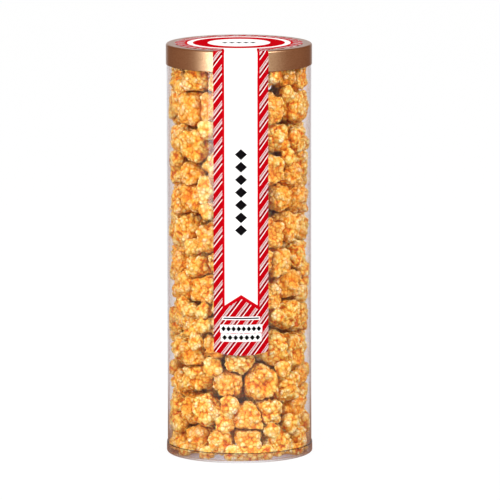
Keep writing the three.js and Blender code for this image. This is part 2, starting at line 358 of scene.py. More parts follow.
def clear_plastic(name, tint, smudge, shaded_above_mm=None):
    """Clear rigid film: glass that lets the lamps through, with a faint smear in its gloss. Above a given
    height its colour is darker, a painted shade for the cut edge that is seen end on there."""
    material, tree, shader, output = new_material(name)
    place = own_coordinates(tree)
    smear = noise(tree, place, SMEARS_TO_THE_METRE, 3)
    roughness = span(tree, smear, 0.35, 0.7, 0.015, smudge)
    give(tree, shader, Base_Color=tint, Roughness=roughness, Transmission_Weight=1.0, IOR=PLASTIC_IOR)
    if shaded_above_mm:
        # Painted shade over the top of the lip, where the cut edge is seen end on
        height = add_node(tree, "ShaderNodeSeparateXYZ", {0: place}).outputs[2]
        in_lip_shade = calc(tree, "GREATER_THAN", height, shaded_above_mm * MM)
        give(tree, shader, Base_Color=mix_colour(tree, in_lip_shade, tint, LIP_PAINTED_SHADE))
    lamps = add_node(tree, "ShaderNodeLightPath").outputs["Is Shadow Ray"]
    through = add_node(tree, "ShaderNodeBsdfTransparent", {"Color": tint})
    mix = add_node(tree, "ShaderNodeMixShader", {0: lamps, 1: shader.outputs[0], 2: through.outputs[0]})
    tree.links.new(mix.outputs[0], output.inputs["Surface"])
    return material


def satin_gold():
    """Gold lacquer on thin sheet metal: a fine grain in colour, roughness and relief."""
    material, tree, shader, _ = new_material("satin gold lacquer")
    place = own_coordinates(tree)
    grain = noise(tree, place, GRAINS_TO_THE_METRE, 3, 0.65)
    cloud = noise(tree, place, CLOUDS_TO_THE_METRE, 3)
    colour = mix_colour(tree, span(tree, cloud, 0.3, 0.7, 0, 1), GOLD, PALE_GOLD)
    colour = mix_colour(tree, span(tree, grain, 0.35, 0.65, 0, 0.6), colour, DEEP_GOLD)
    roughness = span(tree, grain, 0.3, 0.7, 0.26, 0.38)
    bump = add_node(tree, "ShaderNodeBump", {"Strength": 0.3, "Distance": 0.00006, "Height": grain})
    give(tree, shader, Base_Color=colour, Roughness=roughness, Metallic=1.0, Normal=bump.outputs[0])
    give(tree, shader, Coat_Weight=0.5, Coat_Roughness=0.16, Specular_Tint=(0.55, 0.45, 0.4, 1))
    return material


# The label's printed design, in millimetres on the flat sheet. Across is measured from the middle line,
# and down from the middle of the head along the sheet.
PAPER_WHITE = linear(226, 224, 223)
WIDE_RED = linear(162, 4, 14)
RING_RED = linear(172, 5, 16)
LINE_RED = linear(128, 4, 12)
HAIR_PINK = linear(160, 50, 56)
INK_BLACK = linear(14, 12, 14)
FIBRE_GREY = (0.965, 0.965, 0.965, 1)
FIBRES_TO_THE_METRE = 900
CENTRE_RADIUS_MM = 19.2
RED_RING_MM = 28.3
WHITE_RING_MM = 31.8
RING_BORDER_MM = 33.4
PANEL_HALF_MM = 10.05
PANEL_BORDER_MM = 11.45
DOWN_AND_HEIGHT_MM = LID_RADIUS_MM - SHOULDER_MM + SHOULDER_MM * math.pi / 2 + LID_TOP_MM - SHOULDER_MM
STRIPE_PERIOD_MM = 8.3
STRIPE_SLOPE = 1.33
STRIPE_START = 0.1
STRIPES = [
    (0.0, WIDE_RED), (0.45, PAPER_WHITE), (0.49, LINE_RED), (0.58, PAPER_WHITE), (0.62, HAIR_PINK),
    (0.67, PAPER_WHITE), (0.71, LINE_RED), (0.93, PAPER_WHITE),
]
# Whole turns that keep a repeat's count above nothing, where only its fraction is used
TURNS_AHEAD = 100

# Heights on the tube of the printed parts, and the sizes of the lozenges along and across their row
TAIL_NOTCH_MM = 104.6
TAIL_POINTS_MM = 98
TAIL_BORDER_MM = 2.4
COLUMN_TOP_MM = 194.9
COLUMN_END_MM = 140.5
COLUMN_COUNT = 7
COLUMN_LOZENGE_MM = (3.4, 3.75)
RULE_HEIGHT_MM = 90
RULE_HALF_MM = 10.9
RULE_THICK_MM = 0.84
RULE_BAND_MM = 2
BAND_SPARE_MM = 0.6
UPPER_ROW = {"height": 83.5, "half": 12.4, "count": 8, "lozenge": (1.5, 1.75)}
LOWER_ROW = {"height": 78.1, "half": 11.9, "count": 7, "lozenge": (1.6, 1.75)}
ROW_BAND_MM = 5
HEAD_ROW_HALF_MM = 10.8
HEAD_COUNT = 5
HEAD_LOZENGE_MM = (2, 3.2)


def down_of(height_mm):
    """How far down the flat sheet a height on the tube is."""
    return DOWN_AND_HEIGHT_MM - height_mm


def printed_paper():
    """Coated label paper with its print worked out from the flat sheet's own millimetres."""
    material, tree, shader, _ = new_material("printed label paper")
    flat = add_node(tree, "ShaderNodeAttribute", attribute_name="flat_mm").outputs["Vector"]
    split = add_node(tree, "ShaderNodeSeparateXYZ", {0: flat})
    across, down = split.outputs[0], split.outputs[1]
    side = calc(tree, "ABSOLUTE", across)
    from_middle = add_node(tree, "ShaderNodeVectorMath", {0: flat}, operation="LENGTH").outputs["Value"]

    def between(value, low, high):
        """1 where the value lies between low and high, and else 0."""
        over = calc(tree, "GREATER_THAN", value, low)
        return calc(tree, "MULTIPLY", over, calc(tree, "LESS_THAN", value, high))

    def both(first, second):
        """1 where both masks are 1."""
        return calc(tree, "MULTIPLY", first, second)

    def either(first, second):
        """1 where either mask is 1."""
        return calc(tree, "MAXIMUM", first, second)

    # Candy stripes that rise to the right, the same set over and over
    slant = calc(tree, "MULTIPLY_ADD", down, 1 / STRIPE_SLOPE, across)
    turns = calc(tree, "ADD", calc(tree, "DIVIDE", slant, STRIPE_PERIOD_MM), STRIPE_START + TURNS_AHEAD)
    stripes = ramp(tree, calc(tree, "FRACT", turns), STRIPES, "CONSTANT")

    # The white panel down the strip ends in a swallow tail, with a red border round it
    lean = (TAIL_NOTCH_MM - TAIL_POINTS_MM) / PANEL_HALF_MM
    tail_end = calc(tree, "MULTIPLY_ADD", side, lean, down_of(TAIL_NOTCH_MM))
    on_strip = calc(tree, "GREATER_THAN", down, 0)
    above_tail = calc(tree, "LESS_THAN", down, tail_end)
    above_border = calc(tree, "LESS_THAN", calc(tree, "SUBTRACT", down, TAIL_BORDER_MM), tail_end)
    panel = both(both(on_strip, above_tail), calc(tree, "LESS_THAN", side, PANEL_HALF_MM))
    panel_border = both(both(on_strip, above_border), calc(tree, "LESS_THAN", side, PANEL_BORDER_MM))
    disc_border = calc(tree, "LESS_THAN", from_middle, RING_BORDER_MM)
    disc = calc(tree, "LESS_THAN", from_middle, WHITE_RING_MM)
    red_disc = calc(tree, "LESS_THAN", from_middle, RED_RING_MM)
    centre = calc(tree, "LESS_THAN", from_middle, CENTRE_RADIUS_MM)

    # Plain ornaments: a column of lozenges down the panel, a rule and two rows of lozenges under it,
    # and one short row in the middle of the head
    def lozenges(along, over, first, count, pitch, halves):
        """A row of lozenges. In each cell of the row, the way from its middle along the row, as a share
        of the lozenge's half length, and the way over, as a share of its half width, add up to under 1."""
        steps = calc(tree, "DIVIDE", calc(tree, "SUBTRACT", along, first), pitch)
        cell = calc(tree, "SUBTRACT", calc(tree, "FRACT", calc(tree, "ADD", steps, TURNS_AHEAD)), 0.5)
        out = calc(tree, "MULTIPLY", calc(tree, "ABSOLUTE", cell), pitch / halves[0])
        size = calc(tree, "MULTIPLY_ADD", calc(tree, "ABSOLUTE", over), 1 / halves[1], out)
        return both(between(steps, 0, count), calc(tree, "LESS_THAN", size, 1))

    def band(height, half, tall):
        """A level band round a height on the tube, and the way down from its middle."""
        level = calc(tree, "SUBTRACT", down, down_of(height))
        inside = calc(tree, "LESS_THAN", side, half)
        return both(inside, calc(tree, "LESS_THAN", calc(tree, "ABSOLUTE", level), tall / 2)), level

    def foot_row(height, half, count, lozenge):
        """A white band with a row of lozenges on it."""
        white, level = band(height, half + BAND_SPARE_MM, ROW_BAND_MM)
        return white, lozenges(across, level, -half, count, 2 * half / count, lozenge)

    column_pitch = (COLUMN_TOP_MM - COLUMN_END_MM) / COLUMN_COUNT
    column = lozenges(down, across, down_of(COLUMN_TOP_MM), COLUMN_COUNT, column_pitch, COLUMN_LOZENGE_MM)
    upper_band, upper_row = foot_row(**UPPER_ROW)
    lower_band, lower_row = foot_row(**LOWER_ROW)
    rule_band, _ = band(RULE_HEIGHT_MM, RULE_HALF_MM + BAND_SPARE_MM, RULE_BAND_MM)
    rule, _ = band(RULE_HEIGHT_MM, RULE_HALF_MM, RULE_THICK_MM)
    head_pitch = 2 * HEAD_ROW_HALF_MM / HEAD_COUNT
    head_row = lozenges(across, down, -HEAD_ROW_HALF_MM, HEAD_COUNT, head_pitch, HEAD_LOZENGE_MM)

    layers = [
        (either(panel_border, disc_border), RING_RED),
        (either(panel, disc), PAPER_WHITE),
        (red_disc, RING_RED),
        (centre, PAPER_WHITE),
        (either(either(upper_band, lower_band), rule_band), PAPER_WHITE),
        (either(either(column, rule), either(either(upper_row, lower_row), head_row)), INK_BLACK),
    ]
    colour = stripes
    for mask, ink in layers:
        colour = mix_colour(tree, mask, colour, ink)

    fibre = noise(tree, own_coordinates(tree), FIBRES_TO_THE_METRE, 3, 0.6)
    fibre_shade = ramp(tree, fibre, [(0.3, FIBRE_GREY), (0.7, (1, 1, 1, 1))])
    shade = mix_colour(tree, 1.0, colour, fibre_shade, "MULTIPLY")
    roughness = span(tree, fibre, 0.3, 0.7, 0.42, 0.55)
    bump = add_node(tree, "ShaderNodeBump", {"Strength": 0.1, "Distance": 0.00003, "Height": fibre})
    give(tree, shader, Base_Color=shade, Roughness=roughness, Normal=bump.outputs[0])
    give(tree, shader, Specular_IOR_Level=0.0)
    return material


# The popcorn's coating, from its creases to its crowns: its deep orange in the creases is partly its own
# tone and partly painted shade
CORN_COLOURS = [
    (0.0, linear(210, 86, 8)), (1.0, linear(253, 243, 210)), (0.12, linear(238, 132, 22)),
    (0.26, linear(245, 174, 54)), (0.45, linear(250, 206, 96)), (0.7, linear(251, 230, 160)),
]
CORN_TINT = linear(250, 160, 40)
# Deep orange for the seams, partly the coating's tone and partly painted shade
CREASE_ORANGE = linear(226, 104, 8)
CURDS_TO_THE_METRE = 400
BENDS_TO_THE_METRE = 300
BEND = 1.2 * MM
CORN_CLOUDS_TO_THE_METRE = 150
CORN_GRAINS_TO_THE_METRE = 1500
CLOUD_SHARE = 0.7
CROWN_SHARE = 0.75
SWELLING_SHARE = 0.3
GRAIN_SHARE = 0.25
CURD_TIGHTNESS = 1.35
GRAIN_RELIEF = 0.25
CREASE_RELIEF = -0.5


def coated_popcorn():
    """Puffed corn under a dry orange coating: pale on its crowns and in the middles of its small curds,
    deep orange in its creases and seams, which is partly the coating's own tone and partly painted shade.
    A small curd swells as 1 less the square of the distance from its middle, and its seams are the
    creases."""
    material, tree, shader, _ = new_material("coated popcorn")
    place = own_coordinates(tree)
    crown_and_shade = add_node(tree, "ShaderNodeAttribute", attribute_name="crown_and_shade").outputs["Fac"]
    tint = add_node(tree, "ShaderNodeAttribute", attribute_name="tint").outputs["Fac"]
    cloud = noise(tree, place, CORN_CLOUDS_TO_THE_METRE, 3)
    fine = noise(tree, place, CORN_GRAINS_TO_THE_METRE, 3, 0.6)
    bend = {"Vector": place, "Scale": BENDS_TO_THE_METRE, "Detail": 1.0}
    bent = add_node(tree, "ShaderNodeTexNoise", bend).outputs["Color"]
    warp = {0: bent, 1: (BEND,) * 3, 2: place}
    warped = add_node(tree, "ShaderNodeVectorMath", warp, operation="MULTIPLY_ADD").outputs[0]
    cells = {"Vector": warped, "Scale": CURDS_TO_THE_METRE}
    curds = add_node(tree, "ShaderNodeTexVoronoi", cells).outputs["Distance"]
    seams = add_node(tree, "ShaderNodeTexVoronoi", cells, feature="DISTANCE_TO_EDGE").outputs["Distance"]
    from_curd = calc(tree, "MULTIPLY", curds, CURD_TIGHTNESS)
    swelling = calc(tree, "SUBTRACT", 1, calc(tree, "POWER", from_curd, 2.0))
    crease = span(tree, seams, 0.02, 0.13, 1, 0)
    crease = calc(tree, "MULTIPLY", crease, span(tree, cloud, 0.35, 0.65, 0.15, 0.65))
    # A low crown value gives deep orange: painted shade in creases, clefts, cups and between pieces, with
    # the coating's own tone in the creases
    crowns_and_shade = calc(tree, "MULTIPLY", crown_and_shade, CROWN_SHARE)
    level = calc(tree, "MULTIPLY_ADD", calc(tree, "SUBTRACT", cloud, 0.5), CLOUD_SHARE, crowns_and_shade)
    # Paler in the middle of each small curd and deeper towards its seams, partly tone and partly painted
    # shade
    level = calc(tree, "MULTIPLY_ADD", swelling, SWELLING_SHARE, level)
    level = calc(tree, "MULTIPLY_ADD", calc(tree, "SUBTRACT", fine, 0.5), GRAIN_SHARE, level)
    colour = ramp(tree, level, CORN_COLOURS)
    colour = mix_colour(tree, span(tree, tint, 0, 1, 0, 0.45), colour, CORN_TINT)
    # The seams' deep orange: partly the coating's tone and partly painted shade
    colour = mix_colour(tree, crease, colour, CREASE_ORANGE)
    roughness = span(tree, fine, 0.3, 0.7, 0.4, 0.62)
    height = calc(tree, "MULTIPLY_ADD", fine, GRAIN_RELIEF, swelling)
    height = calc(tree, "MULTIPLY_ADD", crease, CREASE_RELIEF, height)
    bump = add_node(tree, "ShaderNodeBump", {"Strength": 1.0, "Distance": 0.0006, "Height": height})
    give(tree, shader, Base_Color=colour, Roughness=roughness, Normal=bump.outputs[0])
    give(tree, shader, Specular_IOR_Level=0.3, Subsurface_Weight=0.2, Subsurface_Scale=0.002)
    give(tree, shader, Subsurface_Radius=(1.0, 0.6, 0.3))
    return material


def room_in_mirrors(tree, way):
    """The studio as a mirror shows it, by the direction from the tube: white paper in front of it and
    behind it, and warm dark walls at its sides."""
    backwards = add_node(tree, "ShaderNodeSeparateXYZ", {0: way}).outputs[1]
    ahead = calc(tree, "MULTIPLY_ADD", backwards, -0.5, 0.5)
    return ramp(tree, ahead, [
        (0.0, ROOM_BACK), (1.0, ROOM_FRONT), (0.015, ROOM_BACK), (0.07, ROOM_SIDE), (0.64, ROOM_SIDE),
        (0.82, ROOM_NEAR_FRONT),
    ])


def pale_floor():
    """A pale floor that the camera sees as nearly white, also through clear plastic."""
    material, tree, shader, output = new_material("pale floor")
    give(tree, shader, Base_Color=(0.92, 0.92, 0.92, 1), Roughness=0.9)
    path = add_node(tree, "ShaderNodeLightPath").outputs
    place = own_coordinates(tree)
    way = add_node(tree, "ShaderNodeVectorMath", {0: place}, operation="NORMALIZE").outputs[0]
    white = (1, 1, 1, 1)
    colour = mix_colour(tree, path["Is Glossy Ray"], white, room_in_mirrors(tree, way))
    glow = add_node(tree, "ShaderNodeEmission", {"Color": colour, "Strength": 1.0})
    through = calc(tree, "MAXIMUM", path["Is Camera Ray"], path["Is Transmission Ray"])
    share = calc(tree, "MULTIPLY", calc(tree, "MAXIMUM", through, path["Is Glossy Ray"]), FLOOR_GLOW)
    mix = add_node(tree, "ShaderNodeMixShader", {0: share, 1: shader.outputs[0], 2: glow.outputs[0]})
    tree.links.new(mix.outputs[0], output.inputs["Surface"])
    return material


# Pieces of the tube


def make_tube(material):
    """The tube's wall: a long thin ring whose two rims are rounded."""
    inner, outer = TUBE_RADIUS_MM - TUBE_WALL_MM, TUBE_RADIUS_MM
    low, high, edge = TUBE_LOW_MM[2], TUBE_HIGH_MM[2], TUBE_RIM_ROUND_MM
    profile = [
        *arc(outer - edge, low + edge, edge, -90, 0, RIM_STEPS),
        *arc(outer - edge, high - edge, edge, 0, 90, RIM_STEPS),
        *arc(inner + edge, high - edge, edge, 90, 180, RIM_STEPS),
        *arc(inner + edge, low + edge, edge, 180, 270, RIM_STEPS),
    ]
    new_piece("tube_wall", *revolve(profile), material, "tube", "clear_plastic", "clear_tube")


def make_base_cap(material):
    """The base cap: a shallow cup with a rounded lower edge and a softened lip."""
    inner, lip, top = CAP_RADIUS_MM - CAP_WALL_MM, CAP_WALL_MM / 2, CAP_HIGH_MM[2]
    profile = [
        (HUB_MM, 0), (SUPPORT_RING_MM, 0),
        *arc(CAP_RADIUS_MM - CAP_EDGE_MM, CAP_EDGE_MM, CAP_EDGE_MM, -90, 0, EDGE_STEPS),
        *arc(CAP_RADIUS_MM - lip, top - lip, lip, 0, 180, LIP_STEPS),
        (inner, CAP_FLOOR_MM), (SUPPORT_RING_MM, CAP_FLOOR_MM), (HUB_MM, CAP_FLOOR_MM),
    ]
    cap = new_piece("base_cup", *revolve(profile), material, "tube", "clear_plastic", "base_cap")
    sharpen(cap, CREASE_DEG)


def make_lid(material):
    """The lid: a drawn cup with a rounded shoulder and a lower edge that is turned smooth."""
    shoulder, height = LID_RADIUS_MM - SHOULDER_MM, LID_TOP_MM - SHOULDER_MM
    low, half, under = LID_LOW_MM[2], LID_SHEET_MM / 2, LID_TOP_MM - LID_SHEET_MM
    profile = [
        *arc(LID_RADIUS_MM - half, low + half, half, 180, 360, LIP_STEPS),
        *arc(shoulder, height, SHOULDER_MM, 0, 90, SHOULDER_STEPS),
        (SUPPORT_RING_MM, LID_TOP_MM), (HUB_MM, LID_TOP_MM), (HUB_MM, under), (SUPPORT_RING_MM, under),
        *arc(shoulder, height, SHOULDER_MM - LID_SHEET_MM, 90, 0, EDGE_STEPS),
    ]
    lid = new_piece("lid_shell", *revolve(profile), material, "lid", "satin_gold", "lid")
    sharpen(lid, CREASE_DEG)


def place_on_lid_and_tube(across, down, lift):
    """Where a point of the flat label lies. On the lid's top it stays at (across, -down). Past the top's
    edge it follows the edge round: an arc over the shoulder, straight down the skirt, a short lean in to
    the tube, and straight down the tube at the angle across / radius. Lift is its height off them."""
    edge = LID_RADIUS_MM - SHOULDER_MM
    angle = across / TUBE_RADIUS_MM
    top_across = edge * np.sin(angle)
    top_length = np.sqrt(edge**2 - top_across**2)
    near_edge = np.clip((down - FLAT_UNTIL_MM) / (edge - FLAT_UNTIL_MM), 0, 1)
    top_down = np.minimum(down, FLAT_UNTIL_MM) + near_edge * (top_length - FLAT_UNTIL_MM)
    past = down - edge
    bend = np.clip(past / SHOULDER_MM, 0, np.pi / 2)
    fall = np.clip(past - SHOULDER_MM * np.pi / 2, 0, None)
    skirt = LID_TOP_MM - SHOULDER_MM - LID_LOW_MM[2]
    lean = np.clip((fall - skirt) / BRIDGE_MM, 0, 1)
    inwards = lean**2 * (3 - 2 * lean) * (LID_RADIUS_MM - TUBE_RADIUS_MM)
    radius = edge + (SHOULDER_MM + lift) * np.sin(bend) - inwards
    height = LID_TOP_MM - SHOULDER_MM + (SHOULDER_MM + lift) * np.cos(bend) - fall
    on_top = past <= 0
    x = np.where(on_top, across + near_edge * (top_across - across), radius * np.sin(angle))
    y = np.where(on_top, -top_down, -radius * np.cos(angle))
    z = np.where(on_top, LID_TOP_MM + lift, height)
    return np.stack([x, y, z], axis=-1)


def make_label(material):
    """The label is one grid: a row for each distance down the sheet, as wide as the round head or the
    strip is there, whichever is more. The strip's lower end is the arc of a circle. The upper and under
    faces meet round the edge."""
    join = math.sqrt(HEAD_RADIUS_MM**2 - STRIP_HALF_MM**2)
    end = down_of(STRIP_END_MM)
    head_end = math.pi - math.acos(join / HEAD_RADIUS_MM)
    head = -HEAD_RADIUS_MM * np.cos(np.linspace(HEAD_START, head_end, HEAD_ROWS))
    over_edge = np.linspace(join + OVER_EDGE_FROM_MM, LID_RADIUS_MM + OVER_EDGE_PAST_MM, OVER_EDGE_ROWS)
    strip = np.linspace(LID_RADIUS_MM + STRIP_PAST_MM, end, STRIP_ROWS)
    down = np.concatenate([head, over_edge, strip])[:, None]
    half = np.where(down < join, np.sqrt(np.clip(HEAD_RADIUS_MM**2 - down**2, 0, None)), STRIP_HALF_MM)
    across = half * np.linspace(-1, 1, SHEET_COLUMNS)[None, :]
    sag = STRIP_END_RADIUS_MM - np.sqrt(STRIP_END_RADIUS_MM**2 - across**2)
    down = down - sag * np.clip((down - end + STRIP_END_BEND_MM) / STRIP_END_BEND_MM, 0, 1)
    rows, columns = across.shape
    upper_points, under_points = (
        place_on_lid_and_tube(across, down, lift).reshape(-1, 3)
        for lift in (PAPER_LIFT_MM + PAPER_MM, PAPER_LIFT_MM)
    )
    index = np.arange(rows * columns).reshape(rows, columns)
    upper = np.stack([index[:-1, :-1], index[1:, :-1], index[1:, 1:], index[:-1, 1:]], axis=-1)
    upper = upper.reshape(-1, 4)
    border = np.concatenate([index[0, :-1], index[:-1, -1], index[-1, :0:-1], index[:0:-1, 0]])
    following = np.roll(border, -1)
    under = rows * columns
    rim = np.stack([border, following, following + under, border + under], axis=-1)
    faces = np.concatenate([upper, upper[:, ::-1] + under, rim])
    points = np.concatenate([upper_points, under_points])
    label = new_piece("label_sheet", points, faces, material, "lid", "label_paper", "label")
    flat = np.stack([across, down, 0 * across], axis=-1).reshape(-1, 3)
    write_attribute(label, "flat_mm", "FLOAT_VECTOR", np.concatenate([flat, flat]))
    sharpen(label, PAPER_CREASE_DEG)


# The popcorn

# The frame's own layout and lobes: places as shares of a layer's height, and the rest as shares of a size
TRAITS = {"angle": 2, "radius": 3, "height": 5, "size": 7, "lobe": 11}
SPREAD = {"radius": 0.06, "angle": 0.26, "height": 0.24, "size": 0.12, "lobe": 0.14}
WALL_SETBACK = 0.56
CORE_SHARE = 0.45
LOBES_AT_MOST = 27
LOBE_OUT = 0.6
LOBE_RADIUS = 0.43
FARTHEST_REACH = (LOBE_OUT + LOBE_RADIUS) * (1 + SPREAD["lobe"])
LAYER_PITCH_MM = (FILL_TOP_MM - FILL_BOTTOM_MM) / POPCORN_LAYERS
WALL_RING_MM = FILL_RADIUS_MM - LAYER_PITCH_MM * WALL_SETBACK
CORE_RING_MM = WALL_RING_MM * CORE_SHARE
WALL_PITCH_MM = math.pi / 2 * WALL_RING_MM / PIECES_PER_QUARTER
PIECE_RADIUS_MM = PIECE_SWELL * max(LAYER_PITCH_MM, WALL_PITCH_MM) / 2

# The round ball in the middle of a piece, larger than the frame's own, as a share of the piece's radius
ROUNDED_HEART = 0.91

# How finely each kind of ball is divided
FINE_BALL, PLAIN_BALL, CRUMB_BALL = 5, 4, 3

# The turn from one spot to the next of an even spiral on a ball, and the least values of divisors
GOLDEN_TURN = math.pi * (1 + 5**0.5)
LEAST_SLOPE = 1e-6
LEAST_SQUARE = 1e-9


def chance(number, trait):
    """A repeatable number from -1 to 1 for each piece of popcorn and each of its traits."""
    return ((number + 1) ** 2 * math.sqrt(TRAITS[trait])) % 1 * 2 - 1


def lay_popcorn():
    """All the pieces in layers of four quarters, as the frame lays them: their centres, radii, turns and
    groups, and whether each lies behind the others. A quarter is three pieces along the wall, at even
    angles, and one behind them, and each layer is turned by half a piece from the one below."""
    centres, radii, turns, groups, behind = [], [], [], [], []
    for layer in range(POPCORN_LAYERS):
        for quarter in range(4):
            start = math.pi / 2 * (quarter + layer / PIECES_PER_QUARTER / 2)
            steps = [(step + 0.5) / PIECES_PER_QUARTER for step in range(PIECES_PER_QUARTER)]
            spots = [(WALL_RING_MM, step) for step in steps] + [(CORE_RING_MM, 0.5)]
            for ring, step in spots:
                number = len(centres)
                out = ring + SPREAD["radius"] * LAYER_PITCH_MM * chance(number, "radius")
                turn = start + math.pi / 2 * step
                turn += SPREAD["angle"] * LAYER_PITCH_MM * chance(number, "angle") / WALL_RING_MM
                level = layer + 0.5 + SPREAD["height"] * chance(number, "height")
                height = FILL_BOTTOM_MM + LAYER_PITCH_MM * level
                centres.append((out * math.cos(turn), out * math.sin(turn), height))
                radii.append(PIECE_RADIUS_MM * (1 + SPREAD["size"] * chance(number, "size")))
                turns.append(turn)
                groups.append(4 * layer + quarter)
                behind.append(ring == CORE_RING_MM)
    return np.array(centres), np.array(radii), np.array(turns), np.array(groups), np.array(behind)


def ball(subdivisions):
    """The unit directions and triangles of a ball of even triangles."""
    shape = bmesh.new()
    bmesh.ops.create_icosphere(shape, subdivisions=subdivisions, radius=1)
    directions = np.array([vertex.co for vertex in shape.verts])
    triangles = np.array([[vertex.index for vertex in face.verts] for face in shape.faces])
    shape.free()
    return directions / np.linalg.norm(directions, axis=1, keepdims=True), triangles


def room_to_wall(centre, directions):
    """Distance from a point to the fill's round wall in each direction: the positive root t of
    |c + t u|^2 = R^2 in the plan."""
    a = np.clip((directions[:, :2] ** 2).sum(axis=1), LEAST_SQUARE, None)
    b = directions[:, :2] @ centre[:2]
    c = centre[0] ** 2 + centre[1] ** 2 - FILL_RADIUS_MM**2
    return (np.sqrt(b * b - a * c) - b) / a


def room_round(number, centres, radii, directions):
    """How far a piece may reach in each direction u: to the flat face half way to each neighbour, to
    the tube's wall, and to the fill's top and bottom. A face with the normal n, at a distance d, is met
    at d / (u.n)."""
    centre, radius = centres[number], radii[number]
    towards = centres - centre
    apart = np.linalg.norm(towards, axis=1)
    near = (apart > 0) & (apart < FARTHEST_REACH * (radius + radii))
    normals = np.concatenate([towards[near] / apart[near, None], [[0, 0, -1], [0, 0, 1]]])
    distances = apart[near] * radius / (radius + radii[near]) - PIECE_GAP_MM / 2
    distances = np.concatenate([distances, [centre[2] - FILL_BOTTOM_MM, FILL_TOP_MM - centre[2]]])
    slopes = directions @ normals.T
    reaches = np.where(slopes > LEAST_SLOPE, distances / np.clip(slopes, LEAST_SLOPE, None), np.inf)
    return np.minimum(reaches.min(axis=1), room_to_wall(centre, directions))


def outermost(directions, spots, sizes):
    """Distance to the outermost of many small spheres, as seen from the middle of a piece: for a sphere
    of radius s centred at c, u.c + sqrt((u.c)^2 - |c|^2 + s^2) where that is real, and else 0."""
    along = directions @ spots.T
    inside = along**2 - (spots**2).sum(axis=1) + sizes**2
    return np.where(inside > 0, along + np.sqrt(np.clip(inside, 0, None)), 0).max(axis=1)


def lobed_reach(number, radius, turn, directions):
    """The frame's own lobes on a rounded heart: one lobe towards each face and each corner of a cube that
    is turned with the piece. A face lies one step from the cube's middle, and a corner three."""
    steps = [(x, y, z) for x in (-1, 0, 1) for y in (-1, 0, 1) for z in (-1, 0, 1)]
    steps = np.array([step for step in steps if sum(map(abs, step)) in (1, 3)], dtype=float)
    first = LOBES_AT_MOST * number
    shares = [1 + SPREAD["lobe"] * chance(first + lobe, "lobe") for lobe in range(len(steps))]
    sizes = radius * np.array(shares)
    with_piece = np.array(Matrix.Rotation(-turn, 3, "Z"))
    towards = steps / np.linalg.norm(steps, axis=1, keepdims=True) @ with_piece
    reach = outermost(directions, towards * LOBE_OUT * sizes[:, None], LOBE_RADIUS * sizes)
    return np.maximum(reach, ROUNDED_HEART * radius)


def puffs(directions, draw, count, out, size_low, size_high):
    """Reach, from 0 to about 1, of an even but uneasy spread of small spheres over a unit ball. Their
    middles follow a spiral from pole to pole with equal steps in height, and each is moved a little."""
    step = np.arange(count) + 0.5
    tilt = np.arccos(1 - 2 * step / count)
    turn = GOLDEN_TURN * step
    spots = np.stack([np.cos(turn) * np.sin(tilt), np.sin(turn) * np.sin(tilt), np.cos(tilt)], axis=-1)
    spots = spots + draw.normal(0, PUFF_UNEASE / math.sqrt(count), spots.shape)
    spots = spots / np.linalg.norm(spots, axis=1, keepdims=True) @ turned(draw)
    distance = out * draw.uniform(PUFF_NEAR, PUFF_FAR, count)
    return outermost(directions, spots * distance[:, None], draw.uniform(size_low, size_high, count))


def turned(draw):
    """A turn by a drawn amount about a drawn axis, as a matrix."""
    angle = draw.uniform(0, 2 * math.pi)
    axis = Vector(draw.normal(0, 1, 3)).normalized()
    return np.array(Matrix.Rotation(angle, 3, axis))


def popped_shape(number, centres, radii, turns, directions):
    """The radius of a popped piece in each direction, and how near each point is to a crown, a value that
    is lowered as painted shade in a cleft, in a cup and where the piece presses on a neighbour. The lobes
    are pressed by the neighbours and the wall: a soft minimum, -log(exp(-lobes) + exp(-room)). Curds,
    kernels, a cleft and here and there a cup are then cut in, so that a piece never leaves its room.
    A cleft fades as exp(-x^2) to its sides, and a cup as a blunt bowl from its middle."""
    centre, radius = centres[number], radii[number]
    draw = np.random.default_rng(FIRST_PIECE_SEED + number)
    lobes = lobed_reach(number, radius, turns[number], directions)
    room = room_round(number, centres, radii, directions)
    pressed = -np.log(np.exp(-PRESS_FIRMNESS * lobes) + np.exp(-PRESS_FIRMNESS * room)) / PRESS_FIRMNESS

    curds = puffs(directions, draw, **CURDS)
    kernels = puffs(directions, draw, **KERNELS)
    curd_height = np.clip((curds - CURD_FOOT) / CURD_RISE, 0, 1)
    kernel_height = np.clip((kernels - KERNEL_FOOT) / KERNEL_RISE, 0, 1)
    lobe_height = np.clip((lobes / radius - ROUNDED_HEART) / LOBE_RISE, 0, 1)
    depth = CURD_DEPTH_MM * (1 - curd_height) + KERNEL_DEPTH_MM * (1 - kernel_height)
    depth += FOLD_DEPTH_MM * (1 - lobe_height)
    crown_and_shade = CURD_CROWN * curd_height + KERNEL_CROWN * kernel_height
    crown_and_shade = crown_and_shade * (1 - LOBE_CROWN + LOBE_CROWN * lobe_height)

    # A face that is pressed on a neighbour is smoother and painted darker, as shade between the pieces,
    # and one that faces the wall is not
    to_wall = np.clip(directions[:, :2] @ centre[:2] / np.linalg.norm(centre[:2]), 0, 1)
    touching = np.clip((lobes - room) / TOUCH_MM, 0, 1) * (1 - to_wall)
    crown_and_shade *= 1 - TOUCH_SHADE * touching
    depth *= 1 - TOUCH_FIT * touching

    basis = turned(draw)
    sideways = directions @ basis[0] / CLEFT_WIDTH
    cleft = np.exp(-(sideways**2)) * np.clip(directions @ basis[1] + CLEFT_START, 0, 1)
    depth += CLEFT_DEPTH_MM * cleft
    # Painted shade inside the cleft
    crown_and_shade *= 1 - CLEFT_SHADE * cleft
    if number % CUP_EVERY == 0:
        outwards = centre * (1, 1, 0) + (0, 0, CUP_TILT_MM * chance(number, "lobe"))
        away = np.degrees(np.arccos(np.clip(directions @ (outwards / np.linalg.norm(outwards)), -1, 1)))
        cup = np.clip(1 - (away / CUP_HALF_DEG) ** 2, 0, 1) ** CUP_BLUNTNESS
        depth += CUP_DEPTH_MM * cup
        # Painted shade inside the cup
        crown_and_shade *= 1 - cup
    return pressed - depth, crown_and_shade


